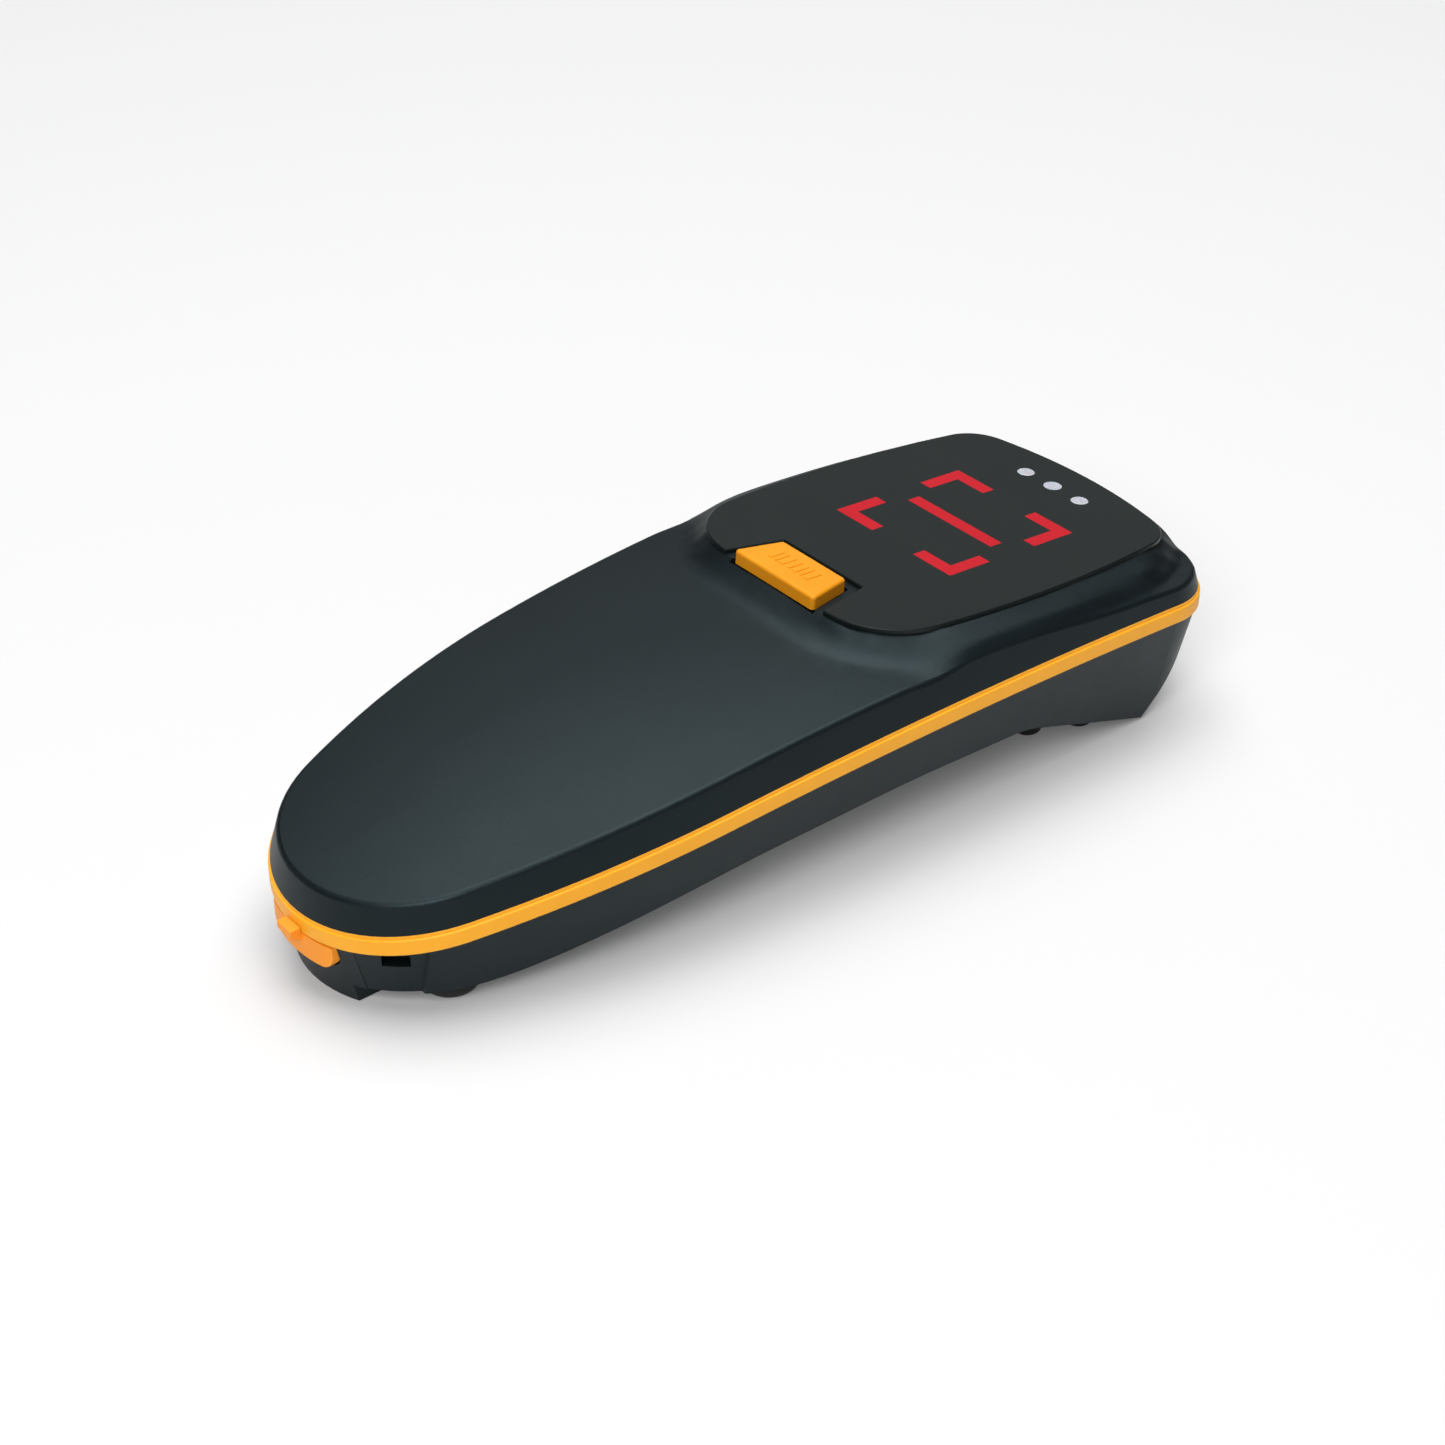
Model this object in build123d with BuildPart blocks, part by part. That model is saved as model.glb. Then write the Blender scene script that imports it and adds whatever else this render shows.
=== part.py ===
from build123d import *
import math
import os

# Hand-held cordless barcode scanner, millimetres.
# +Y runs from the rounded tail towards the scanning head, +Z is up, and the
# origin is the centre of the footprint on the surface the scanner lies on.
# A "station" is the distance along the body from the tail tip of the band.

os.makedirs("parts", exist_ok=True)

# ---- driving dimensions -------------------------------------------------
LENGTH = 130.4            # tail tip to front of the band
TAIL_TIP = -0.3           # station of the band's tail tip
PULL_LIP = 1.4            # the flap's lip reaches this far past the tail
TAIL = -(LENGTH - PULL_LIP) / 2 - TAIL_TIP
WALL = 2.0                # shell thickness
DATUM_Z = 17.0            # height at which the wall outlines are drawn
CROWN_EDGE = 0.8          # rounding between the top and the upper walls
UPPER_DRAFT = 15.5        # degrees, the upper walls lean in going up
LOWER_DRAFT = 12.0        # degrees, the lower walls lean in going down

# Half outlines in plan: start station, then (turn in degrees, radius) arcs.
BAND_OUTLINE = (TAIL_TIP, [(70.46, 19.07), (15.82, 124.53), (4.68, 903.7), (82.3, 9.56)])
UPPER_OUTLINE = (1.55, [(68.02, 18.22), (16.77, 116.89), (7.23, 584.0), (81.4, 9.84)])
LOWER_OUTLINE = (-1.72, [(72.37, 19.77), (15.06, 131.09), (2.71, 1560.3), (83.0, 9.34)])
LABEL_OUTLINE = (72.0, [(5.21, 118.87), (78.85, 10.54), (14.25, 158.5), (68.5, 6.0)])

# The band lies on a long arc in side view.
BAND_HEIGHT = 2.6
BAND_DEPTH = 2.3
BAND_BEAD = 0.45          # height of the stepped bead along its upper edge
BEAD_STEP = 0.25
BAND_APEX = (89.2, 18.9)  # station, height
BAND_SWEEP = 451.7

# Label panel: a flat, slightly nose-down facet on top of the head.
LABEL_STATION = 100.24
LABEL_Z = 26.41
LABEL_TILT = 4.4
LABEL_THICK = 0.6
LABEL_GAP = 0.2
RIM_DROP = 0.42          # the casing lies this far below the label round its rim
COVE_WIDTH = 5.2         # the hollow flank runs this far out from the rim
SHOULDER_DROP = 1.35     # the shoulder lies this far below the rim
SHOULDER_BEND = 0.22
LED_STATION = 121.95
LED_PITCH = 5.15
LED_R = 1.25

# Front face and window.
FOOT_Z = 0.5              # casing bottom above the surface, the feet fill it
SKIRT_Z = 0.15            # lowest point of the skirt under the charging port
FRONT_STATION = 118.0
FRONT_LEAN = 35.0
UNDERSIDE = [(-9, 2.7), (16, 2.9), (45, 8.3), (75, 9.9), (94.5, 9.4), (FRONT_STATION, FOOT_Z)]
UNDERSIDE_BENDS = [60, 150, 150, 12]
WINDOW_W = 35.0
WINDOW_H = 12.0
WINDOW_T = 1.4

# Scan button.
BUTTON_REAR = (7.8, 72.3)   # half width, station
BUTTON_FRONT = (6.1, 79.2)
BUTTON_TOP = 1.0            # above the label plane
BUTTON_BOTTOM = -0.9
BUTTON_TRAVEL = 0.5

# Electronics.
BOARD_TOP = 18.4
BOARD_THICK = 1.2
SCREWS = [(17.4, 46.0), (18.9, 95.0)]
BOARD_SCREWS = [(12.2, 75.8), (12.2, 98.0)]
CLEAR = 0.15


def st(station):
    """Y of a station."""
    return TAIL + station


def half_outline(outline, inset=0.0):
    """Draw a closed, mirror-symmetric chain of tangent arcs."""
    start, arcs = outline
    point = Vector(0, st(start) + inset)
    heading = Vector(1, 0)
    for turn, radius in arcs:
        arc = JernArc(start=point, tangent=heading, radius=radius - inset, arc_size=turn)
        point = arc @ 1
        heading = arc % 1
    last_turn = 180 - sum(turn for turn, _ in arcs)
    last_radius = point.X / math.sin(math.radians(last_turn))
    arc = JernArc(start=point, tangent=heading, radius=last_radius, arc_size=2 * last_turn)
    point = arc @ 1
    heading = arc % 1
    for turn, radius in reversed(arcs):
        arc = JernArc(start=point, tangent=heading, radius=radius - inset, arc_size=turn)
        point = arc @ 1
        heading = arc % 1


def outline_prism(outline, inset, z_low, z_high, lean=0.0):
    """Solid of an outline drawn at DATUM_Z; lean > 0 narrows it going up."""
    with BuildPart() as prism:
        for amount in (z_high - DATUM_Z, z_low - DATUM_Z):
            if amount == 0:
                continue
            with BuildSketch(Plane.XY.offset(DATUM_Z)):
                with BuildLine():
                    half_outline(outline, inset)
                make_face()
            extrude(amount=amount, taper=lean if amount > 0 else -lean)
    return prism.part


def straight_prism(outline, inset, z_low, z_high):
    """Solid of an outline with upright walls."""
    with BuildPart() as prism:
        with BuildSketch(Plane.XY.offset(z_low)):
            with BuildLine():
                half_outline(outline, inset)
            make_face()
        extrude(amount=z_high - z_low)
    return prism.part


def band_z(station):
    """Height of the middle of the band."""
    across = station - BAND_APEX[0]
    return BAND_APEX[1] - BAND_SWEEP + math.sqrt(BAND_SWEEP ** 2 - across ** 2)


def under_band(rise):
    """Everything below the band's centre arc moved up by rise."""
    ends = (-12.0, 150.0)
    middle = sum(ends) / 2
    with BuildPart() as space:
        with BuildSketch(Plane.YZ):
            with BuildLine():
                arc = ThreePointArc(*[(st(s), band_z(s) + rise) for s in (ends[0], middle, ends[1])])
                Polyline(arc @ 1, (st(ends[1]), -20), (st(ends[0]), -20), arc @ 0)
            make_face()
        extrude(amount=45, both=True)
    return space.part


def ease(t):
    """Smooth step from 1 down to 0."""
    t = min(max(t, 0.0), 1.0)
    return 1 - t ** 3 * (10 - 15 * t + 6 * t * t)


def label_distance(x, station):
    """Signed distance outside the rounded label outline."""
    front_part = station > 100
    corner = 7.0 if front_part else 9.8
    half = 21.3 - (station - 96) ** 2 / 360
    front = 128.0 - x * x / 110
    rear = LABEL_OUTLINE[0] + x * x / 238
    across = abs(x) - (half - corner)
    along = station - (front - corner) if front_part else (rear + corner) - station
    return math.hypot(max(across, 0), max(along, 0)) + min(max(across, along), 0) - corner


def label_z(station):
    """Height of the label plane."""
    return LABEL_Z - math.tan(math.radians(LABEL_TILT)) * (station - LABEL_STATION)


def top_z(x, station):
    """Height of the casing's top: crowned grip, hollow flank, and flat head."""
    along = station - 35
    grip = 22.33 + 0.1536 * along - 0.001596 * along ** 2 - x * x / 375
    in_head = 1 - ease((station - 72) / 18)
    rim = label_z(station) - RIM_DROP
    beyond = label_distance(x, station) + 0.4
    if beyond <= 0:
        return rim
    flank = max(1 - beyond / COVE_WIDTH, 0) ** 2
    rounding = SHOULDER_BEND * in_head * max(beyond - 2.2, 0) ** 2
    floor = min(grip, rim - 0.2)
    shoulder = rim - SHOULDER_DROP
    outer = floor + in_head * (shoulder - floor)
    return outer + (rim - outer) * flank - min(rounding, 1.6)


def above_top(drop):
    """Everything above the top surface lowered by drop."""
    stations = [-4, 6, 16, 26, 36, 46, 54, 60, 64, 66.5, 68.5, 70, 71.5, 73, 75, 78, 82, 87,
                92, 98, 104, 110, 115, 119, 122.5, 125.5, 128, 130, 133]
    half_widths = [5, 10, 13, 16, 18, 19.5, 21, 22.5, 24, 25.5, 27, 29]
    edge = half_widths[-1]
    ceiling = 45
    with BuildPart() as space:
        for station in stations:
            with BuildSketch(Plane(origin=(0, st(station), 0), x_dir=(1, 0, 0), z_dir=(0, -1, 0))):
                with BuildLine():
                    across = [-w for w in reversed(half_widths)] + [0] + half_widths
                    Spline(*[(x, top_z(x, station) - drop) for x in across])
                    low = top_z(edge, station) - drop
                    Polyline((edge, low), (edge, ceiling), (-edge, ceiling), (-edge, low))
                make_face()
        loft()
    return space.part


def side_profile(inset):
    """The bottom casing's underside and front face, as a solid in side view."""
    rise = 34.0
    reach = rise * math.tan(math.radians(FRONT_LEAN))
    points = UNDERSIDE + [(FRONT_STATION + reach, FOOT_Z + rise), (-9, FOOT_Z + rise)]
    with BuildPart() as space:
        with BuildSketch(Plane.YZ):
            with BuildLine():
                Polyline(*[(st(s), z) for s, z in points], close=True)
            make_face()
            if inset:
                offset(amount=-inset, kind=Kind.INTERSECTION)
            for (station, _), radius in zip(UNDERSIDE[1:-1], UNDERSIDE_BENDS):
                corner = vertices().filter_by(lambda v: abs(v.X - st(station)) < 3 and v.Y < 14)
                fillet(corner, radius)
        extrude(amount=45, both=True)
    return space.part


def label_plane(rise=0.0):
    """Plane of the label panel, origin above LABEL_STATION."""
    tilt = math.radians(LABEL_TILT)
    up = Vector(0, math.sin(tilt), math.cos(tilt))
    return Plane(origin=Vector(0, st(LABEL_STATION), LABEL_Z) + up * rise, x_dir=(1, 0, 0), z_dir=up)


def label_outline(inset):
    """Draw the label outline on the label plane."""
    start, arcs = LABEL_OUTLINE
    half_outline((start - LABEL_STATION - TAIL, arcs), inset)


def notch_outline(margin, rear_station):
    """Draw a trapezoid round the button, on the label plane."""
    slope = (BUTTON_REAR[0] - BUTTON_FRONT[0]) / (BUTTON_FRONT[1] - BUTTON_REAR[1])
    front = BUTTON_FRONT[1] + margin - LABEL_STATION
    rear = rear_station - LABEL_STATION
    front_half = BUTTON_FRONT[0] + margin
    rear_half = front_half + slope * (front - rear)
    Polyline((-rear_half, rear), (rear_half, rear), (front_half, front), (-front_half, front), close=True)


def front_plane(depth=0.0, up=0.0):
    """Plane of the leaning front face; depth goes into the head."""
    lean = math.radians(FRONT_LEAN)
    normal = Vector(0, math.cos(lean), -math.sin(lean))
    slope = Vector(0, math.sin(lean), math.cos(lean))
    base = Vector(0, st(FRONT_STATION), FOOT_Z)
    return Plane(origin=base + slope * up - normal * depth, x_dir=(-1, 0, 0), z_dir=normal)


def posts(places, radius, z_low, z_high):
    """Upright cylinders on both sides of the centre line."""
    with BuildPart() as made:
        with BuildSketch(Plane.XY.offset(z_low)):
            with Locations([(side * x, st(s)) for x, s in places for side in (-1, 1)]):
                Circle(radius)
        extrude(amount=z_high - z_low)
    return made.part


def block(x_span, station_span, z_span):
    """Box given by its limits."""
    with BuildPart() as made:
        with BuildSketch(Plane.XY.offset(z_span[0])):
            with Locations((sum(x_span) / 2, st(sum(station_span) / 2))):
                Rectangle(x_span[1] - x_span[0], station_span[1] - station_span[0])
        extrude(amount=z_span[1] - z_span[0])
    return made.part


def finish(builder, name):
    """Label a finished piece and write it."""
    builder.part.label = name
    export_step(builder.part, f"parts/{name}.step")


half_band = BAND_HEIGHT / 2

# ---- gasket band: silicone ring between the two shells --------------------
band_outer = straight_prism(BAND_OUTLINE, 0.0, 0.0, 30.0)
band_inner = straight_prism(BAND_OUTLINE, BAND_DEPTH, -1.0, 31.0)
with BuildPart() as bead:
    add(straight_prism(BAND_OUTLINE, BEAD_STEP, 0.0, 30.0))
    add(under_band(half_band), mode=Mode.INTERSECT)
    add(under_band(0), mode=Mode.SUBTRACT)

with BuildPart() as gasket_band:
    add(band_outer)
    add(under_band(half_band - BAND_BEAD), mode=Mode.INTERSECT)
    add(under_band(-half_band), mode=Mode.SUBTRACT)
    outer_edges = gasket_band.edges().filter_by(lambda e: e.length > 3)
    fillet(outer_edges, 0.2)
    add(bead.part)
    add(band_inner, mode=Mode.SUBTRACT)
finish(gasket_band, "gasket_band")

# ---- top shell ------------------------------------------------------------
boss_r = 3.0
with BuildPart() as top_cavity:
    add(outline_prism(UPPER_OUTLINE, WALL, 8.0, 31.0, UPPER_DRAFT))
    add(above_top(WALL), mode=Mode.SUBTRACT)
    add(posts(SCREWS, boss_r, 0, 40), mode=Mode.SUBTRACT)
    with BuildSketch(label_plane(-3.4)):
        with Locations((0, 76 - LABEL_STATION)):
            Rectangle(20, 12)
    extrude(amount=10, mode=Mode.SUBTRACT)

with BuildPart() as top_shell:
    add(outline_prism(UPPER_OUTLINE, 0.0, 8.0, 31.0, UPPER_DRAFT))
    add(above_top(0.0), mode=Mode.SUBTRACT)
    crown = top_shell.faces().filter_by(GeomType.BSPLINE).sort_by(SortBy.AREA)[-1]
    fillet(crown.edges(), CROWN_EDGE)
    add(under_band(half_band), mode=Mode.SUBTRACT)
    add(top_cavity.part, mode=Mode.SUBTRACT)
    with BuildSketch(label_plane(-LABEL_THICK)):
        with BuildLine():
            label_outline(-LABEL_GAP)
        make_face()
    extrude(amount=6, mode=Mode.SUBTRACT)
    with BuildSketch(label_plane(BUTTON_BOTTOM - BUTTON_TRAVEL - 0.1)):
        with BuildLine():
            notch_outline(0.3, 72.0)
        make_face()
    extrude(amount=6, mode=Mode.SUBTRACT)
    with BuildSketch(label_plane(-8)):
        with Locations((0, 76 - LABEL_STATION)):
            Rectangle(9.0, 3.6)
    extrude(amount=8, mode=Mode.SUBTRACT)
    with BuildSketch(label_plane(-8)):
        with Locations([(n * LED_PITCH, LED_STATION - LABEL_STATION) for n in (-1, 0, 1)]):
            Circle(LED_R + 0.1)
    extrude(amount=8, mode=Mode.SUBTRACT)
    add(posts(SCREWS, 1.2, 10, 22.2), mode=Mode.SUBTRACT)
finish(top_shell, "top_shell")

# ---- bottom shell -----------------------------------------------------------
seat_z = 11.0
board_post_top = BOARD_TOP - BOARD_THICK
flap_z = (5.4, 8.6)
flap_half = 6.3
flap_depth = 1.9
port_z = (5.75, 9.05)
rear_foot_r = 3.8
rear_foot_height = 3.5
rear_foot_spots = [(side * 10.9, st(13.8)) for side in (-1, 1)]
front_foot_r = 2.0
front_foot_places = [(14.8, 104.6, 5.9), (17.6, 111.4, 3.6)]   # x, station, height
foot_gap = 0.05
lanyard_corner = Plane(origin=(13.4, st(5.4), 0), x_dir=(0.63, 0.78, 0), z_dir=(0, 0, 1))

with BuildPart() as bottom_cavity:
    add(outline_prism(LOWER_OUTLINE, WALL, 0.0, 24.0, -LOWER_DRAFT))
    add(side_profile(WALL), mode=Mode.INTERSECT)
    add(posts(SCREWS, 3.6, 0, 40), mode=Mode.SUBTRACT)
    add(posts(BOARD_SCREWS, 2.6, 0, board_post_top), mode=Mode.SUBTRACT)
    add(block((7.6, 16.5), (0, 9.5), (0, 20)), mode=Mode.SUBTRACT)

with BuildPart() as lanyard_recess:
    add(block((8.6, 15.4), (0, 8.4), (-1, 12)))
    deepening = Location((-1.07, -0.54, 0))
    add(outline_prism(LOWER_OUTLINE, 0.0, -2.0, 24.0, -LOWER_DRAFT).moved(deepening), mode=Mode.SUBTRACT)

with BuildPart() as flap_recess:
    add(block((-flap_half - 0.2, flap_half + 0.2), (-2, 6), (flap_z[0] - 0.2, 12)))
    fillet(flap_recess.edges().filter_by(Axis.Y).group_by(Axis.Z)[0], 2.0)
    add(straight_prism(BAND_OUTLINE, flap_depth + 0.2, -2, 24), mode=Mode.SUBTRACT)

with BuildPart() as tail_skirt:
    add(outline_prism(LOWER_OUTLINE, 0.0, SKIRT_Z, DATUM_Z, -LOWER_DRAFT))
    add(block((-7.0, 7.0), (-4, 8.6), (0, 6)), mode=Mode.INTERSECT)

with BuildPart() as bottom_shell:
    add(outline_prism(LOWER_OUTLINE, 0.0, 0.0, 24.0, -LOWER_DRAFT))
    add(side_profile(0.0), mode=Mode.INTERSECT)
    add(tail_skirt.part)
    add(bottom_cavity.part, mode=Mode.SUBTRACT)
    add(under_band(-half_band), mode=Mode.INTERSECT)
    add(posts(SCREWS, boss_r, 12, 17), mode=Mode.ADD)
    add(posts(BOARD_SCREWS, 2.6, 12, board_post_top))
    add(lanyard_recess.part, mode=Mode.SUBTRACT)
    add(flap_recess.part, mode=Mode.SUBTRACT)
    add(block((-4.7, 4.7), (0, 5), port_z), mode=Mode.SUBTRACT)
    add(posts(SCREWS, 2.8, -1, seat_z), mode=Mode.SUBTRACT)
    add(posts(SCREWS, 1.35, -1, 30), mode=Mode.SUBTRACT)
    add(posts(BOARD_SCREWS, 0.9, 11, 30), mode=Mode.SUBTRACT)
    with BuildSketch(lanyard_corner.offset(7.2)):
        with Locations((-0.5, 1.2)):
            Rectangle(3.4, 6.2)
    extrude(amount=1.9, mode=Mode.SUBTRACT)
    with BuildSketch(lanyard_corner):
        with Locations((-0.5, 3.5)):
            Rectangle(3.4, 1.6)
    extrude(amount=9.1, mode=Mode.SUBTRACT)
    with BuildSketch(front_plane(WINDOW_T, 9.6)):
        RectangleRounded(WINDOW_W + 0.3, WINDOW_H + 0.3, 3.2)
    extrude(amount=10, mode=Mode.SUBTRACT)
    with BuildSketch(front_plane(6.0, 9.6)):
        RectangleRounded(WINDOW_W - 3, WINDOW_H - 3, 2)
    extrude(amount=16, mode=Mode.SUBTRACT)
    for x, station, height in front_foot_places:
        add(posts([(x, station)], front_foot_r + foot_gap, 0, height), mode=Mode.SUBTRACT)
    with BuildSketch():
        with Locations(rear_foot_spots):
            Circle(rear_foot_r + foot_gap)
    extrude(amount=rear_foot_height, mode=Mode.SUBTRACT)
finish(bottom_shell, "bottom_shell")

# ---- label panel with its three indicator windows --------------------------
led_spots = [(n * LED_PITCH, LED_STATION - LABEL_STATION) for n in (-1, 0, 1)]
with BuildPart() as label_panel:
    with BuildSketch(label_plane(-LABEL_THICK)):
        with BuildLine():
            label_outline(0)
        make_face()
        with BuildLine():
            notch_outline(1.5, 60)
        make_face(mode=Mode.SUBTRACT)
        with Locations(led_spots):
            Circle(LED_R, mode=Mode.SUBTRACT)
    extrude(amount=LABEL_THICK)
    label_top = label_panel.faces().sort_by(SortBy.AREA)[-2:].sort_by(Axis.Z)[-1]
    chamfer(label_top.outer_wire().edges(), 0.12)
finish(label_panel, "label_panel")

pipe_depth = 5.0
with BuildPart() as light_pipes:
    with BuildSketch(label_plane(-pipe_depth)):
        with Locations(led_spots):
            Circle(LED_R)
    extrude(amount=pipe_depth)
    fillet(light_pipes.faces().filter_by(GeomType.PLANE).group_by(SortBy.DISTANCE)[-1].edges(), 0.2)
finish(light_pipes, "light_pipes")

# ---- scan button ------------------------------------------------------------
button_station = 76 - LABEL_STATION
post_foot = 22.95
bars = [(-3.6, 0.6), (-2.5, 0.3), (-1.5, 0.9), (0, 0.4), (1.1, 0.7), (2.3, 0.3), (3.4, 0.8)]
with BuildPart() as scan_button:
    with BuildSketch(label_plane(BUTTON_BOTTOM)):
        with BuildLine():
            notch_outline(0, BUTTON_REAR[1])
        make_face()
        fillet(vertices(), 0.5)
    extrude(amount=BUTTON_TOP - BUTTON_BOTTOM)
    fillet(scan_button.faces().sort_by(Axis.Z)[-1].edges(), 0.45)
    with BuildSketch(label_plane(BUTTON_TOP - 0.2)):
        for place, width in bars:
            with Locations((place, button_station - 0.1)):
                Rectangle(width, 2.4)
    extrude(amount=0.3)
    with BuildSketch(label_plane(-3.5)):
        with Locations((0, button_station)):
            RectangleRounded(8.4, 3.0, 0.6)
    extrude(amount=3.5 + BUTTON_BOTTOM)
    with BuildSketch(label_plane(-4.3)):
        with Locations((0, button_station)):
            RectangleRounded(11.0, 5.0, 0.6)
    extrude(amount=0.8)
    with BuildSketch(Plane.XY.offset(post_foot)):
        with Locations((0, st(76))):
            Circle(1.5)
    extrude(amount=1.6)
finish(scan_button, "scan_button")

# ---- tact switch ------------------------------------------------------------
switch_height = 3.4
with BuildPart() as tact_switch_body:
    with BuildSketch(Plane.XY.offset(BOARD_TOP)):
        with Locations((0, st(76))):
            RectangleRounded(6.2, 6.2, 0.4)
    extrude(amount=switch_height)
    with Locations((0, st(76), BOARD_TOP + switch_height)):
        Hole(1.75, depth=2.4)
finish(tact_switch_body, "tact_switch_body")

with BuildPart() as switch_plunger:
    with BuildSketch(Plane.XY.offset(BOARD_TOP + 1.7)):
        with Locations((0, st(76))):
            Circle(1.68)
    extrude(amount=post_foot - 0.05 - BOARD_TOP - 1.7)
finish(switch_plunger, "switch_plunger")

# ---- main board and what is on it -------------------------------------------
with BuildPart() as main_board:
    with BuildSketch(Plane.XY.offset(board_post_top)):
        with Locations((0, st(92))):
            RectangleRounded(30.0, 50.0, 1.5)
        with Locations((0, st(119.5))):
            RectangleRounded(20.0, 10.0, 1.5)
    extrude(amount=BOARD_THICK)
    with Locations([(side * x, st(s), BOARD_TOP) for x, s in BOARD_SCREWS for side in (-1, 1)]):
        Hole(1.1)
finish(main_board, "main_board")

with BuildPart() as status_leds:
    with BuildSketch(Plane.XY.offset(BOARD_TOP)):
        with Locations([(n * LED_PITCH, st(LED_STATION)) for n in (-1, 0, 1)]):
            Rectangle(1.6, 0.8)
    extrude(amount=0.6)
finish(status_leds, "status_leds")

with BuildPart() as buzzer:
    with BuildSketch(Plane.XY.offset(BOARD_TOP)):
        with Locations((9.5, st(88))):
            Circle(4.5)
    extrude(amount=2.5)
    with Locations((9.5, st(88), BOARD_TOP + 2.5)):
        Hole(0.8, depth=0.6)
finish(buzzer, "buzzer")

with BuildPart() as wireless_module:
    with BuildSketch(Plane.XY.offset(BOARD_TOP)):
        with Locations((-8.5, st(87.5))):
            Rectangle(11, 15)
    extrude(amount=0.8)
    with BuildSketch(Plane.XY.offset(BOARD_TOP + 0.8)):
        with Locations((-8.5, st(86))):
            RectangleRounded(10, 10.5, 0.6)
    extrude(amount=1.4)
finish(wireless_module, "wireless_module")

with BuildPart() as decoder_chip:
    with BuildSketch(Plane.XY.offset(BOARD_TOP)):
        with Locations((3, st(103))):
            Rectangle(10, 10)
    extrude(amount=1.0)
finish(decoder_chip, "decoder_chip")

with BuildPart() as board_connectors:
    with BuildSketch(Plane.XY.offset(BOARD_TOP)):
        with Locations((9, st(70.2))):
            Rectangle(6.5, 4)
        with Locations((-5, st(112.5)), (-9, st(70.2))):
            Rectangle(8, 2.6)
    extrude(amount=1.6)
finish(board_connectors, "board_connectors")

with BuildPart() as board_screws:
    for x, s in BOARD_SCREWS:
        for side in (-1, 1):
            with BuildSketch(Plane.XY.offset(11.2)):
                with Locations((side * x, st(s))):
                    Circle(0.9)
            extrude(amount=BOARD_TOP - 11.2)
            with BuildSketch(Plane.XY.offset(BOARD_TOP)):
                with Locations((side * x, st(s))):
                    Circle(1.9)
                    RegularPolygon(0.6, 6, mode=Mode.SUBTRACT)
            extrude(amount=1.0)
            with BuildSketch(Plane.XY.offset(BOARD_TOP - 0.2)):
                with Locations((side * x, st(s))):
                    Circle(0.9)
            extrude(amount=0.4)
finish(board_screws, "board_screws")

# ---- battery ----------------------------------------------------------------
battery_z = (11.7, 18.1)
battery_stations = (28.0, 62.0)
with BuildPart() as battery:
    add(block((-13.4, 13.4), battery_stations, battery_z))
    fillet(battery.edges().filter_by(Axis.Y), 2.5)
    fillet(battery.faces().sort_by(Axis.Y)[0].edges() + battery.faces().sort_by(Axis.Y)[-1].edges(), 0.5)
finish(battery, "battery")

with BuildPart() as battery_pad:
    add(block((-5, 11), (44, 57), (11.2, battery_z[0])))
finish(battery_pad, "battery_pad")

wire_r = 0.55
with BuildPart() as battery_lead:
    for side in (-0.7, 0.7):
        x = 9 + side
        route = [(x, st(62.0), 14.5), (x, st(65.4), 14.5), (x, st(66.0), 19.4), (x, st(68.1), 19.4)]
        with BuildLine():
            path = FilletPolyline(*route, radius=1.2)
        with BuildSketch(Plane(origin=path @ 0, z_dir=path % 0)):
            Circle(wire_r)
        sweep(path=path)
finish(battery_lead, "battery_lead")

# ---- charging port ------------------------------------------------------------
usb_floor = 5.8
with BuildPart() as usb_board:
    with BuildSketch(Plane.XY.offset(usb_floor - 0.7)):
        with Locations((0, st(9.3))):
            Rectangle(14, 7.4)
    extrude(amount=0.7)
finish(usb_board, "usb_board")

socket_size = (8.94, 3.16)
socket_stations = (2.95, 10.2)
port_centre = Vector(0, st(socket_stations[0]), usb_floor + socket_size[1] / 2)
port_plane = Plane(origin=port_centre, x_dir=(1, 0, 0), z_dir=(0, -1, 0))
with BuildPart() as usb_socket:
    with BuildSketch(port_plane):
        RectangleRounded(*socket_size, 1.4)
        RectangleRounded(socket_size[0] - 0.6, socket_size[1] - 0.6, 1.1, mode=Mode.SUBTRACT)
    extrude(amount=-(socket_stations[1] - socket_stations[0]))
    with BuildSketch(port_plane.offset(-6.5)):
        RectangleRounded(*socket_size, 1.4)
    extrude(amount=-0.75)
finish(usb_socket, "usb_socket")

with BuildPart() as usb_tongue:
    with BuildSketch(port_plane.offset(-0.9)):
        Rectangle(6.7, 0.7)
    extrude(amount=-5.6)
finish(usb_tongue, "usb_tongue")

with BuildPart() as usb_ribbon:
    with BuildSketch(Plane.YZ.offset(-11)):
        with BuildLine():
            route = [(13.6, usb_floor + 0.15), (28, 9.3), (46, 10.7), (59, 11.4)]
            route += [(63.6, 11.5), (65.6, 20.0), (68.9, 20.0)]
            edge = FilletPolyline(*[(st(s), z) for s, z in route], radius=0.8)
            offset(edge, amount=0.15, side=Side.LEFT)
        make_face()
    extrude(amount=5)
finish(usb_ribbon, "usb_ribbon")

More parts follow.
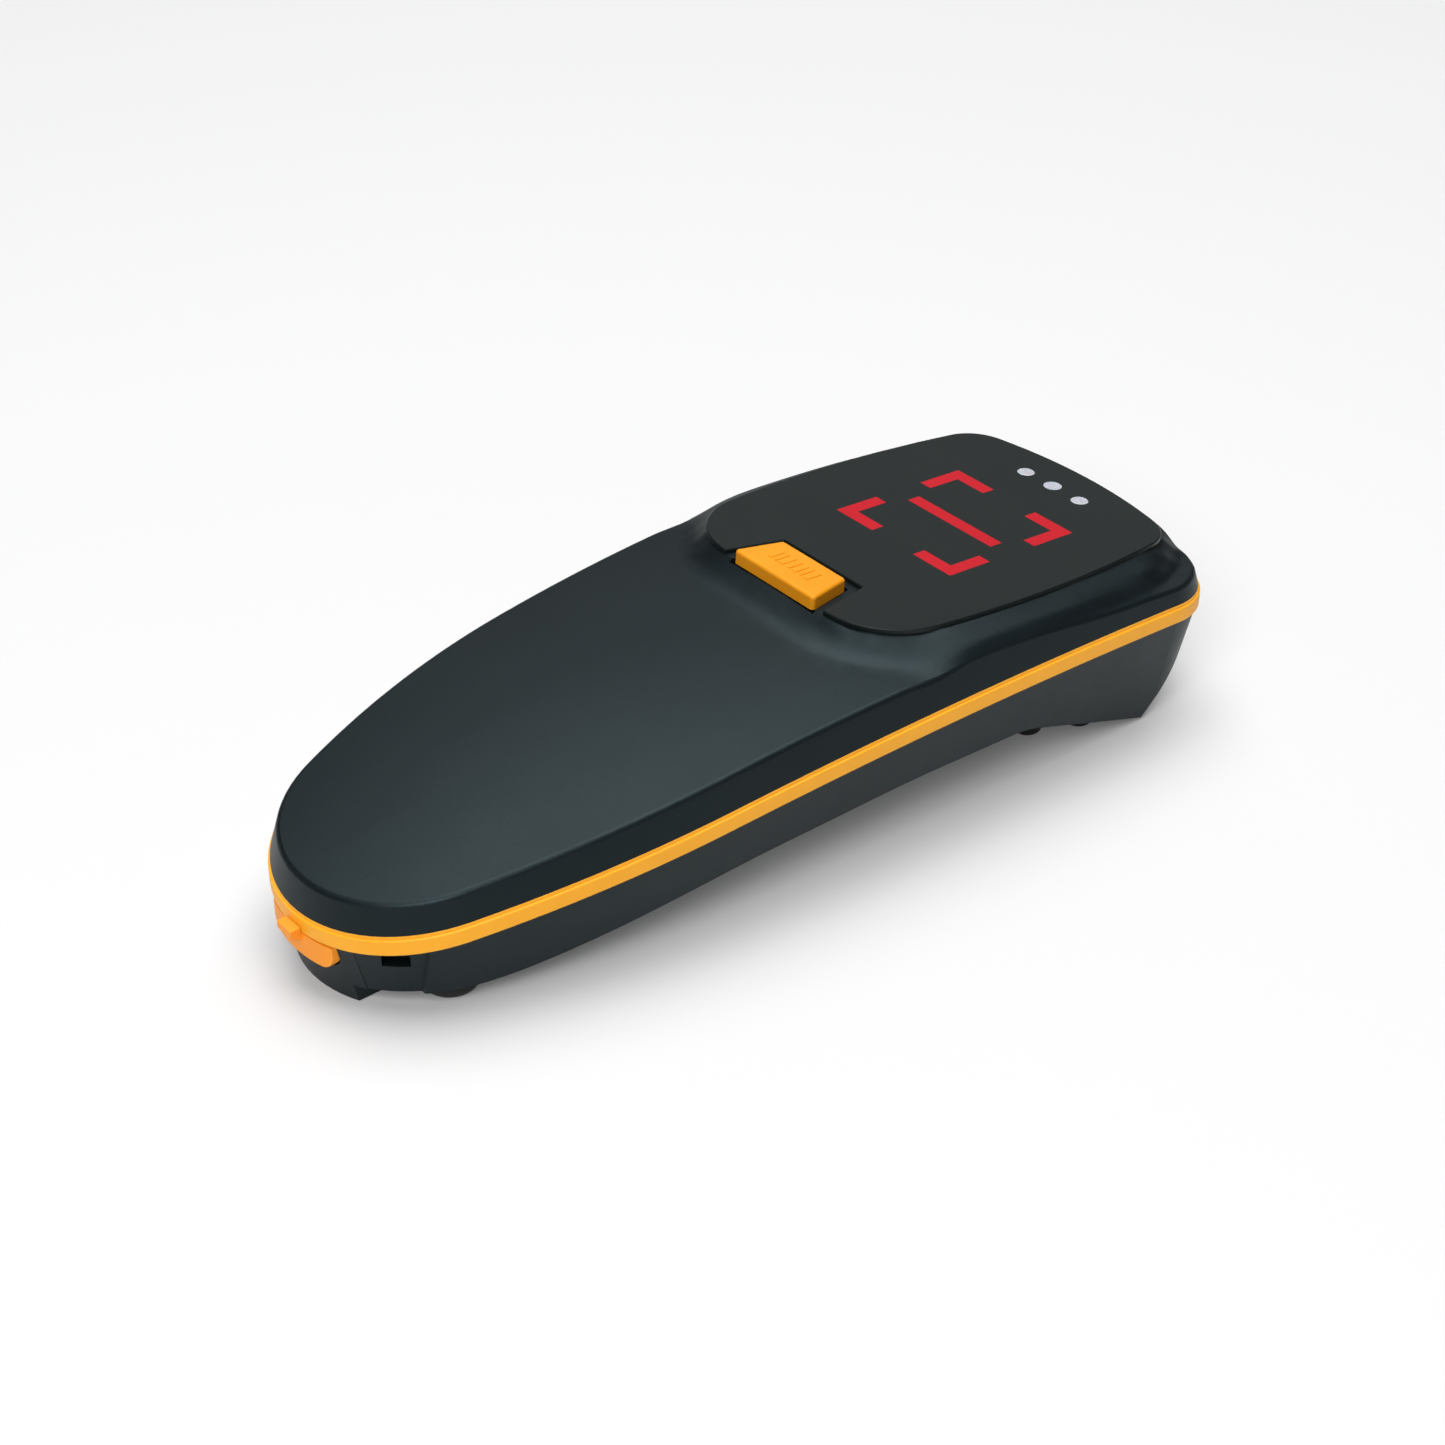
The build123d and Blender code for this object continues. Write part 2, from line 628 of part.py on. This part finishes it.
lip_half = 1.5
lip_root = st(TAIL_TIP - 0.06)
lip_tip = st(TAIL_TIP - PULL_LIP)
with BuildPart() as usb_port_flap:
    add(block((-flap_half, flap_half), (-2, 6), flap_z))
    fillet(usb_port_flap.edges().filter_by(Axis.Y).group_by(Axis.Z)[0], 1.8)
    add(straight_prism(BAND_OUTLINE, 0.0, -2, 24), mode=Mode.INTERSECT)
    add(straight_prism(BAND_OUTLINE, flap_depth, -3, 25), mode=Mode.SUBTRACT)
    with BuildSketch(Plane.YZ):
        with BuildLine():
            Polyline((st(0.6), flap_z[0] - 0.1), (st(3.6), flap_z[0] - 0.1), (st(3.6), 8.0), close=True)
        make_face()
    extrude(amount=20, both=True, mode=Mode.SUBTRACT)
    with BuildSketch(Plane.YZ):
        with BuildLine():
            under_lip = [(lip_tip, 8.5), (st(0.4), 7.3), (st(0.4), 8.55)]
            Polyline((lip_root, 8.75), (lip_root, 9.5), (lip_tip, 9.4), *under_lip, close=True)
        make_face()
    extrude(amount=lip_half, both=True)
    add(block((-3.6, 3.6), (flap_depth - 0.3, 2.5), (6.7, 7.9)))
finish(usb_port_flap, "usb_port_flap")

# ---- imaging engine -------------------------------------------------------------
engine_lean = 20.4
engine_size = (26.0, 9.0)
engine_screw_spots = [(10.9, 2.9), (10.9, -2.9)]
lean = math.radians(engine_lean)
engine_axis = Vector(0, math.cos(lean), -math.sin(lean))
engine_origin = Vector(0, st(113.7), 9.4)


def engine_plane(ahead):
    """Plane across the optical axis, ahead of the engine's front face."""
    return Plane(origin=engine_origin + engine_axis * ahead, x_dir=(-1, 0, 0), z_dir=engine_axis)


with BuildPart() as engine_frame:
    with BuildSketch(engine_plane(-7.0)):
        RectangleRounded(*engine_size, 1.0)
    extrude(amount=7.0)
    with BuildSketch(engine_plane(0)):
        with Locations((-1.5, 0)):
            Circle(3.6)
        with Locations((6.3, 0)):
            Circle(2.2)
        with Locations((-9.4, 0)):
            RectangleRounded(5.0, 7.0, 0.8)
    extrude(amount=-5.0, mode=Mode.SUBTRACT)
    with BuildSketch(engine_plane(0)):
        with Locations(engine_screw_spots):
            Circle(0.8)
    extrude(amount=-7.0, mode=Mode.SUBTRACT)
finish(engine_frame, "engine_frame")

with BuildPart() as engine_board:
    with BuildSketch(engine_plane(-8.0)):
        RectangleRounded(*engine_size, 1.0)
    extrude(amount=1.0)
    with BuildSketch(engine_plane(-8.0)):
        with Locations(engine_screw_spots):
            Circle(0.8)
    extrude(amount=1.0, mode=Mode.SUBTRACT)
finish(engine_board, "engine_board")

with BuildPart() as lens_barrel:
    with BuildSketch(engine_plane(-5.0)):
        with Locations((-1.5, 0)):
            Circle(3.5)
            Circle(2.3, mode=Mode.SUBTRACT)
    extrude(amount=6.0)
finish(lens_barrel, "lens_barrel")

with BuildPart() as lens_glass:
    with BuildSketch(engine_plane(-1.5)):
        with Locations((-1.5, 0)):
            Circle(2.3)
    extrude(amount=1.2)
finish(lens_glass, "lens_glass")

with BuildPart() as aimer_lens:
    with BuildSketch(engine_plane(-3.0)):
        with Locations((6.3, 0)):
            Circle(2.1)
    extrude(amount=2.6)
finish(aimer_lens, "aimer_lens")

with BuildPart() as illumination_lens:
    with BuildSketch(engine_plane(-3.0)):
        with Locations((-9.4, 0)):
            RectangleRounded(4.8, 6.8, 0.7)
    extrude(amount=2.6)
finish(illumination_lens, "illumination_lens")

with BuildPart() as engine_screws:
    with BuildSketch(engine_plane(-8.0)):
        with Locations(engine_screw_spots):
            Circle(0.8)
    extrude(amount=8.0)
    with BuildSketch(engine_plane(-9.0)):
        with Locations(engine_screw_spots):
            Circle(1.5)
    extrude(amount=1.0)
finish(engine_screws, "engine_screws")

# ---- window -----------------------------------------------------------------------
with BuildPart() as window_seal:
    with BuildSketch(front_plane(WINDOW_T, 9.6)):
        RectangleRounded(WINDOW_W + 0.3, WINDOW_H + 0.3, 3.2)
        RectangleRounded(WINDOW_W - 3, WINDOW_H - 3, 2, mode=Mode.SUBTRACT)
    extrude(amount=0.3)
finish(window_seal, "window_seal")

with BuildPart() as window_pane:
    with BuildSketch(front_plane(WINDOW_T - 0.3, 9.6)):
        RectangleRounded(WINDOW_W, WINDOW_H, 3.0)
    extrude(amount=0.95)
    chamfer(window_pane.faces().sort_by(Axis.Y)[-1].edges(), 0.2)
finish(window_pane, "window_pane")

# ---- feet, screws, rating label -----------------------------------------------------
with BuildPart() as rear_feet:
    with BuildSketch():
        with Locations(rear_foot_spots):
            Circle(rear_foot_r)
    extrude(amount=rear_foot_height)
    fillet(rear_feet.edges().group_by(Axis.Z)[0], 1.6)
finish(rear_feet, "rear_feet")

with BuildPart() as front_feet:
    for x, station, height in front_foot_places:
        add(posts([(x, station)], front_foot_r, 0, height))
    fillet(front_feet.edges().group_by(Axis.Z)[0], 0.8)
finish(front_feet, "front_feet")

screw_length = 10.6
with BuildPart() as case_screws:
    for x, s in SCREWS:
        for side in (-1, 1):
            with BuildSketch(Plane.XY.offset(seat_z - 1.7)):
                with Locations((side * x, st(s))):
                    Circle(2.3)
                    RegularPolygon(1.1, 6, mode=Mode.SUBTRACT)
            extrude(amount=1.7)
            with BuildSketch(Plane.XY.offset(seat_z - 0.7)):
                with Locations((side * x, st(s))):
                    Circle(1.2)
            extrude(amount=screw_length + 0.7)
finish(case_screws, "case_screws")

arch_start = Vector(0, st(UNDERSIDE[2][0]), UNDERSIDE[2][1])
arch_end = Vector(0, st(UNDERSIDE[3][0]), UNDERSIDE[3][1])
arch = (arch_end - arch_start).normalized()
label_middle = arch_start + (arch_end - arch_start) * 0.55
with BuildPart() as rating_label:
    with BuildSketch(Plane(origin=label_middle, x_dir=(1, 0, 0), z_dir=arch.cross(Vector(1, 0, 0)))):
        RectangleRounded(24, 13, 1.5)
    extrude(amount=0.12)
finish(rating_label, "rating_label")
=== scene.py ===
import math

import bmesh
import bpy
from mathutils import Matrix, Vector


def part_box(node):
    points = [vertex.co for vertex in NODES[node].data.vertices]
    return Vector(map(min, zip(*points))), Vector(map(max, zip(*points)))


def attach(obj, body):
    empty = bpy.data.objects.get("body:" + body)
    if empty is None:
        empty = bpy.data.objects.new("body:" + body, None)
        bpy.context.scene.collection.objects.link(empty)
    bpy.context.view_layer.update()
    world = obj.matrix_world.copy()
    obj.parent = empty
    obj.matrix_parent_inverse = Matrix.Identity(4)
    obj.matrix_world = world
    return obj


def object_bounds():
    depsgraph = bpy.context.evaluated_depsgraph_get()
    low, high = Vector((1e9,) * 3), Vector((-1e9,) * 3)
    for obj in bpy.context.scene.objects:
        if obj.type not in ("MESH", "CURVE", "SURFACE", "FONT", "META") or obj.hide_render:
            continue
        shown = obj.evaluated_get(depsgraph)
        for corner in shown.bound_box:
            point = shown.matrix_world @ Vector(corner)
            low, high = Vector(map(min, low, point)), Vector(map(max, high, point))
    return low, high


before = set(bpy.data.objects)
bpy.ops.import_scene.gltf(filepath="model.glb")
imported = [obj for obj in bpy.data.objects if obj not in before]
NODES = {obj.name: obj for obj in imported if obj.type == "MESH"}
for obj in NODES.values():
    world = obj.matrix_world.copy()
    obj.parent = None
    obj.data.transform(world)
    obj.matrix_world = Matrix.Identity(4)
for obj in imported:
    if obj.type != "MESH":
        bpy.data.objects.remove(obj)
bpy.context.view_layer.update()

MM = 0.001

# The scanner lies on its pads with +Y towards the scanning head and +Z up.
LOW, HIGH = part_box("label_panel")
LABEL_TILT = math.radians(4.4)
GAP_PRINT = 0.02 * MM


# ---- node helpers ---------------------------------------------------------

def new_material(name):
    """A material with its Principled shader and an object-space coordinate."""
    mat = bpy.data.materials.new(name)
    mat.use_nodes = True
    tree = mat.node_tree
    shader = tree.nodes["Principled BSDF"]
    place = tree.nodes.new("ShaderNodeTexCoord").outputs["Object"]
    return mat, tree, shader, place


def noise(tree, place, size, detail=2.0, stretch=(1, 1, 1), rough=0.5):
    """Noise whose features are about size metres across."""
    mapping = tree.nodes.new("ShaderNodeMapping")
    mapping.inputs["Scale"].default_value = stretch
    tree.links.new(place, mapping.inputs["Vector"])
    node = tree.nodes.new("ShaderNodeTexNoise")
    node.inputs["Scale"].default_value = 1.0 / size
    node.inputs["Detail"].default_value = detail
    node.inputs["Roughness"].default_value = rough
    tree.links.new(mapping.outputs["Vector"], node.inputs["Vector"])
    return node.outputs["Fac"]


def ramp(tree, factor, stops):
    """Colour ramp; stops are (position, colour or grey)."""
    node = tree.nodes.new("ShaderNodeValToRGB")
    elements = node.color_ramp.elements
    while len(elements) < len(stops):
        elements.new(0.5)
    for element, (position, colour) in zip(elements, stops):
        element.position = position
        grey = (colour,) * 3 if isinstance(colour, (int, float)) else tuple(colour)
        element.color = (*grey, 1.0)
    tree.links.new(factor, node.inputs["Fac"])
    return node.outputs["Color"]


def bump(tree, shader, height, depth, after=None):
    """Bump of the given depth in metres."""
    node = tree.nodes.new("ShaderNodeBump")
    node.inputs["Strength"].default_value = 1.0
    node.inputs["Distance"].default_value = depth
    tree.links.new(height, node.inputs["Height"])
    if after is not None:
        tree.links.new(after, node.inputs["Normal"])
    tree.links.new(node.outputs["Normal"], shader.inputs["Normal"])
    return node.outputs["Normal"]


def surface(name, dark, light, rough, grain_size, grain_depth, patch=14 * MM, stretch=(1, 1, 1)):
    """Moulded or coated surface: slow colour drift, fine grain in gloss and relief."""
    mat, tree, shader, place = new_material(name)
    slow = noise(tree, place, patch, 3.0)
    tree.links.new(ramp(tree, slow, [(0.3, dark), (0.7, light)]), shader.inputs["Base Color"])
    fine = noise(tree, place, grain_size, 2.0, stretch)
    tree.links.new(ramp(tree, fine, [(0.25, rough[0]), (0.75, rough[1])]), shader.inputs["Roughness"])
    bump(tree, shader, fine, grain_depth)
    return mat


# ---- materials --------------------------------------------------------------

def casing():
    mat, tree, shader, place = new_material("casing_satin")
    slow = noise(tree, place, 18 * MM, 3.0)
    tree.links.new(ramp(tree, slow, [(0.3, (0.0032, 0.0050, 0.0060)), (0.7, (0.0042, 0.0064, 0.0076))]),
                   shader.inputs["Base Color"])
    shader.inputs["Specular Tint"].default_value = (0.66, 0.92, 1.0, 1)
    shader.inputs["Specular IOR Level"].default_value = 0.30
    spark = noise(tree, place, 0.22 * MM, 2.0)
    cloud = noise(tree, place, 6 * MM, 4.0)
    mix = tree.nodes.new("ShaderNodeMix")
    mix.inputs["Factor"].default_value = 0.35
    tree.links.new(spark, mix.inputs["A"])
    tree.links.new(cloud, mix.inputs["B"])
    tree.links.new(ramp(tree, mix.outputs["Result"], [(0.3, 0.40), (0.7, 0.50)]), shader.inputs["Roughness"])
    bump(tree, shader, spark, 0.012 * MM)
    return mat


def silicone(name, dark, light, roughness):
    mat, tree, shader, place = new_material(name)
    slow = noise(tree, place, 9 * MM, 3.0)
    tree.links.new(ramp(tree, slow, [(0.3, dark), (0.7, light)]), shader.inputs["Base Color"])
    fine = noise(tree, place, 0.16 * MM, 2.0)
    tree.links.new(ramp(tree, fine, [(0.3, roughness - 0.06), (0.7, roughness + 0.06)]), shader.inputs["Roughness"])
    bump(tree, shader, fine, 0.004 * MM)
    shader.inputs["Subsurface Weight"].default_value = 0.12
    shader.inputs["Subsurface Radius"].default_value = (1.0, 0.45, 0.1)
    shader.inputs["Subsurface Scale"].default_value = 0.8 * MM
    return mat


def circuit_board():
    mat, tree, shader, place = new_material("circuit_board")
    bricks = tree.nodes.new("ShaderNodeTexBrick")
    bricks.inputs["Scale"].default_value = 1.0 / (3.2 * MM)
    bricks.inputs["Mortar Size"].default_value = 0.06
    bricks.inputs["Brick Width"].default_value = 0.9
    bricks.inputs["Row Height"].default_value = 0.35
    bricks.inputs["Color1"].default_value = (0.004, 0.06, 0.022, 1)
    bricks.inputs["Color2"].default_value = (0.005, 0.075, 0.028, 1)
    bricks.inputs["Mortar"].default_value = (0.012, 0.13, 0.05, 1)
    tree.links.new(place, bricks.inputs["Vector"])
    tree.links.new(bricks.outputs["Color"], shader.inputs["Base Color"])
    fine = noise(tree, place, 0.5 * MM)
    tree.links.new(ramp(tree, fine, [(0.3, 0.22), (0.7, 0.36)]), shader.inputs["Roughness"])
    bump(tree, shader, bricks.outputs["Fac"], 0.02 * MM)
    return mat


def metal(name, colour, rough, stretch):
    mat = surface(name, tuple(0.82 * c for c in colour), colour, rough, 0.12 * MM, 0.003 * MM, 5 * MM, stretch)
    mat.node_tree.nodes["Principled BSDF"].inputs["Metallic"].default_value = 1.0
    return mat


def clear(name, tint, rough, transmission, ior=1.49):
    mat, tree, shader, place = new_material(name)
    shader.inputs["Base Color"].default_value = (*tint, 1)
    shader.inputs["Transmission Weight"].default_value = transmission
    shader.inputs["IOR"].default_value = ior
    smear = noise(tree, place, 4 * MM, 4.0)
    tree.links.new(ramp(tree, smear, [(0.35, rough), (0.75, rough + 0.05)]), shader.inputs["Roughness"])
    return mat


def diffuser():
    mat, tree, shader, place = new_material("light_pipe")
    milk = noise(tree, place, 0.5 * MM, 3.0)
    tree.links.new(ramp(tree, milk, [(0.3, (0.40, 0.40, 0.45)), (0.7, (0.48, 0.48, 0.53))]),
                   shader.inputs["Base Color"])
    tree.links.new(ramp(tree, milk, [(0.3, 0.22), (0.7, 0.32)]), shader.inputs["Roughness"])
    shader.inputs["Subsurface Weight"].default_value = 0.4
    shader.inputs["Subsurface Scale"].default_value = 0.6 * MM
    shader.inputs["Coat Weight"].default_value = 0.5
    return mat


ORANGE_DARK = (0.92, 0.395, 0.014)
ORANGE_LIGHT = (0.97, 0.430, 0.018)
CAP_DARK = (0.70, 0.255, 0.006)
CAP_LIGHT = (0.75, 0.285, 0.008)
FLAP_DARK = (0.92, 0.300, 0.014)
FLAP_LIGHT = (0.97, 0.330, 0.018)

MATERIALS = {
    "casing": casing(),
    "band": silicone("silicone_band", ORANGE_DARK, ORANGE_LIGHT, 0.46),
    "flap": silicone("silicone_flap", FLAP_DARK, FLAP_LIGHT, 0.5),
    "button": silicone("button_cap", CAP_DARK, CAP_LIGHT, 0.38),
    "label": surface("label_film", (0.0040, 0.0072, 0.0068), (0.0050, 0.0086, 0.0081), (0.30, 0.38),
                     0.10 * MM, 0.0035 * MM),
    "ink_red": surface("ink_red", (0.42, 0.006, 0.014), (0.46, 0.008, 0.017), (0.3, 0.4), 0.10 * MM, 0.003 * MM),
    "ink_white": surface("ink_white", (0.74, 0.75, 0.75), (0.82, 0.82, 0.82), (0.35, 0.45), 0.10 * MM, 0.003 * MM),
    "diffuser": diffuser(),
    "board": circuit_board(),
    "chip": surface("chip_mould", (0.010, 0.010, 0.011), (0.015, 0.015, 0.016), (0.45, 0.6), 0.08 * MM, 0.004 * MM),
    "black": surface("black_mould", (0.007, 0.007, 0.008), (0.011, 0.011, 0.012), (0.38, 0.52), 0.15 * MM, 0.006 * MM),
    "connector": surface("connector_mould", (0.62, 0.58, 0.47), (0.70, 0.66, 0.55), (0.4, 0.5), 0.2 * MM, 0.004 * MM),
    "steel": metal("plated_steel", (0.62, 0.61, 0.59), (0.22, 0.34), (1, 8, 1)),
    "zinc": metal("zinc_screw", (0.42, 0.42, 0.43), (0.3, 0.45), (1, 1, 1)),
    "pouch": surface("battery_sleeve", (0.018, 0.060, 0.17), (0.024, 0.075, 0.20), (0.28, 0.4), 0.6 * MM, 0.03 * MM),
    "foam": surface("foam", (0.012, 0.012, 0.012), (0.03, 0.03, 0.03), (0.85, 0.95), 0.3 * MM, 0.08 * MM),
    "wire": surface("wire_sleeve", (0.40, 0.008, 0.008), (0.5, 0.012, 0.012), (0.35, 0.45), 0.3 * MM, 0.004 * MM),
    "ribbon": surface("ribbon_film", (0.34, 0.13, 0.015), (0.42, 0.17, 0.02), (0.2, 0.3), 0.4 * MM, 0.003 * MM),
    "lens": clear("lens_glass", (0.92, 0.95, 1.0), 0.01, 1.0, 1.6),
    "aimer": clear("aimer_lens", (0.95, 0.25, 0.2), 0.05, 0.9),
    "flood": clear("flood_lens", (0.97, 0.97, 0.9), 0.16, 0.9),
    "window": clear("window_pane", (0.30, 0.20, 0.22), 0.02, 0.92, 1.52),
    "foot": surface("foot_rubber", (0.010, 0.010, 0.011), (0.017, 0.017, 0.018), (0.7, 0.85), 0.18 * MM, 0.02 * MM),
    "paper": surface("blank_label", (0.36, 0.37, 0.38), (0.41, 0.42, 0.43), (0.4, 0.5), 0.15 * MM, 0.003 * MM),
}

NODE_MATERIALS = {
    "top_shell": "casing", "bottom_shell": "casing", "gasket_band": "band", "usb_port_flap": "flap",
    "scan_button": "button", "label_panel": "label", "light_pipes": "diffuser", "tact_switch_body": "black",
    "switch_plunger": "connector", "main_board": "board", "status_leds": "connector", "buzzer": "black",
    "wireless_module": "steel", "decoder_chip": "chip", "board_connectors": "connector",
    "board_screws": "zinc", "battery": "pouch", "battery_pad": "foam", "battery_lead": "wire",
    "usb_board": "board", "usb_socket": "steel", "usb_tongue": "black", "usb_ribbon": "ribbon",
    "engine_frame": "black", "engine_board": "board", "lens_barrel": "chip", "lens_glass": "lens",
    "aimer_lens": "aimer", "illumination_lens": "flood", "engine_screws": "zinc", "window_seal": "foam",
    "window_pane": "window", "rear_feet": "foot", "front_feet": "foot", "case_screws": "zinc",
    "rating_label": "paper",
}
for key, level in (("label", 0.30), ("ink_red", 0.15), ("button", 0.25), ("band", 0.3), ("flap", 0.3)):
    MATERIALS[key].node_tree.nodes["Principled BSDF"].inputs["Specular IOR Level"].default_value = level
for node, key in NODE_MATERIALS.items():
    for slot in NODES[node].material_slots:
        slot.link = "OBJECT"
        slot.material = MATERIALS[key]


# ---- printing on the label panel ---------------------------------------------
def label_point(x, y):
    """Point just above the label's top face, x across and y along in millimetres."""
    top = HIGH[2] + (LOW[1] - y * MM) * math.tan(LABEL_TILT)
    return Vector((x * MM, y * MM, top + GAP_PRINT))


def print_piece(name, polygons, ink):
    """Flat ink areas that lie just above the label film."""
    mesh = bpy.data.meshes.new(name)
    bm = bmesh.new()
    for polygon in polygons:
        bm.faces.new([bm.verts.new(label_point(x, y)) for x, y in polygon])
    bm.normal_update()
    for face in bm.faces:
        if face.normal.z < 0:
            face.normal_flip()
    bm.to_mesh(mesh)
    bm.free()
    mesh.materials.append(MATERIALS[ink])
    piece = bpy.data.objects.new(name, mesh)
    bpy.context.scene.collection.objects.link(piece)
    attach(piece, "housing")
    return piece


def rectangle(x0, y0, x1, y1):
    return [(x0, y0), (x1, y0), (x1, y1), (x0, y1)]


ICON_MIDDLE = (0.5, 39.0)
ICON_HALF = 11.0
ARM = 7.0
THICK = 2.0
brackets = []
for sx in (-1, 1):
    for sy in (-1, 1):
        cx = ICON_MIDDLE[0] + sx * ICON_HALF
        cy = ICON_MIDDLE[1] + sy * ICON_HALF
        brackets.append([(cx, cy), (cx - sx * ARM, cy), (cx - sx * ARM, cy - sy * THICK),
                         (cx - sx * THICK, cy - sy * THICK), (cx - sx * THICK, cy - sy * ARM), (cx, cy - sy * ARM)])
brackets.append(rectangle(ICON_MIDDLE[0] - 8, ICON_MIDDLE[1] - 1.0, ICON_MIDDLE[0] + 8, ICON_MIDDLE[1] + 1.0))
print_piece("scan_frame_print", brackets, "ink_red")


# ---- studio ---------------------------------------------------------------------

def plain(name, colour, emission=0.0):
    mat = bpy.data.materials.new(name)
    mat.use_nodes = True
    shader = mat.node_tree.nodes["Principled BSDF"]
    shader.inputs["Base Color"].default_value = (*colour, 1)
    shader.inputs["Roughness"].default_value = 0.9
    shader.inputs["Specular IOR Level"].default_value = 0.1
    shader.inputs["Emission Color"].default_value = (1, 1, 1, 1)
    shader.inputs["Emission Strength"].default_value = emission
    return mat


def disc(name, radius, z, material):
    mesh = bpy.data.meshes.new(name)
    bm = bmesh.new()
    bmesh.ops.create_circle(bm, cap_ends=True, segments=96, radius=radius)
    bm.transform(Matrix.Translation((0, 0, z)))
    bm.to_mesh(mesh)
    bm.free()
    mesh.materials.append(material)
    obj = bpy.data.objects.new(name, mesh)
    bpy.context.scene.collection.objects.link(obj)
    return obj


def dome(name, radius, material):
    mesh = bpy.data.meshes.new(name)
    bm = bmesh.new()
    bmesh.ops.create_uvsphere(bm, u_segments=48, v_segments=24, radius=radius)
    bm.to_mesh(mesh)
    bm.free()
    mesh.materials.append(material)
    obj = bpy.data.objects.new(name, mesh)
    bpy.context.scene.collection.objects.link(obj)
    return obj


def camera_only(obj):
    obj.visible_diffuse = False
    obj.visible_glossy = False
    obj.visible_transmission = False
    obj.visible_shadow = False


FLOOR_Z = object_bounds()[0][2] - 0.02 * MM
floor = disc("floor", 0.45, FLOOR_Z, plain("floor_card", (0.60, 0.60, 0.603), 0.08))
backdrop = dome("backdrop", 4.0, plain("backdrop_white", (0, 0, 0), 1.0))
camera_only(backdrop)


def panel(name, place, size, radiance, target=(0, 0, 0.015)):
    """Soft rectangular light facing target."""
    data = bpy.data.lights.new(name, "AREA")
    data.shape = "RECTANGLE"
    data.size, data.size_y = size
    data.energy = radiance * math.pi * size[0] * size[1]
    lamp = bpy.data.objects.new(name, data)
    lamp.location = place
    lamp.rotation_euler = (Vector(target) - Vector(place)).to_track_quat("-Z", "Y").to_euler()
    bpy.context.scene.collection.objects.link(lamp)
    return lamp


panel("overhead", (-0.12, 0.12, 1.0), (1.0, 1.0), 4.4)
panel("near_key", (0.50, -0.66, 0.75), (0.55, 0.5), 10.0)
panel("far_wall", (-0.9, 0.75, 0.62), (1.5, 0.8), 0.34)
panel("right_fill", (0.8, 0.35, 0.35), (0.5, 0.4), 0.25)

world = bpy.data.worlds.new("studio")
world.use_nodes = True
world.node_tree.nodes["Background"].inputs["Color"].default_value = (0.9, 0.95, 1.0, 1)
world.node_tree.nodes["Background"].inputs["Strength"].default_value = 0.03
bpy.context.scene.world = world
bpy.context.scene.view_settings.view_transform = "Standard"

# ---- camera -----------------------------------------------------------------------
AZIMUTH = math.radians(50.89)
ELEVATION = math.radians(33.57)
DISTANCE = 0.3808
AIM = Vector((0, 0.00002, 0.01038))
camera_data = bpy.data.cameras.new("camera")
camera_data.sensor_width = 36
camera_data.lens = 74.1
camera = bpy.data.objects.new("camera", camera_data)
across = math.cos(ELEVATION)
camera.location = AIM + DISTANCE * Vector((math.sin(AZIMUTH) * across, -math.cos(AZIMUTH) * across, math.sin(ELEVATION)))
camera.rotation_euler = (AIM - camera.location).to_track_quat("-Z", "Y").to_euler()
bpy.context.scene.collection.objects.link(camera)
bpy.context.scene.camera = camera
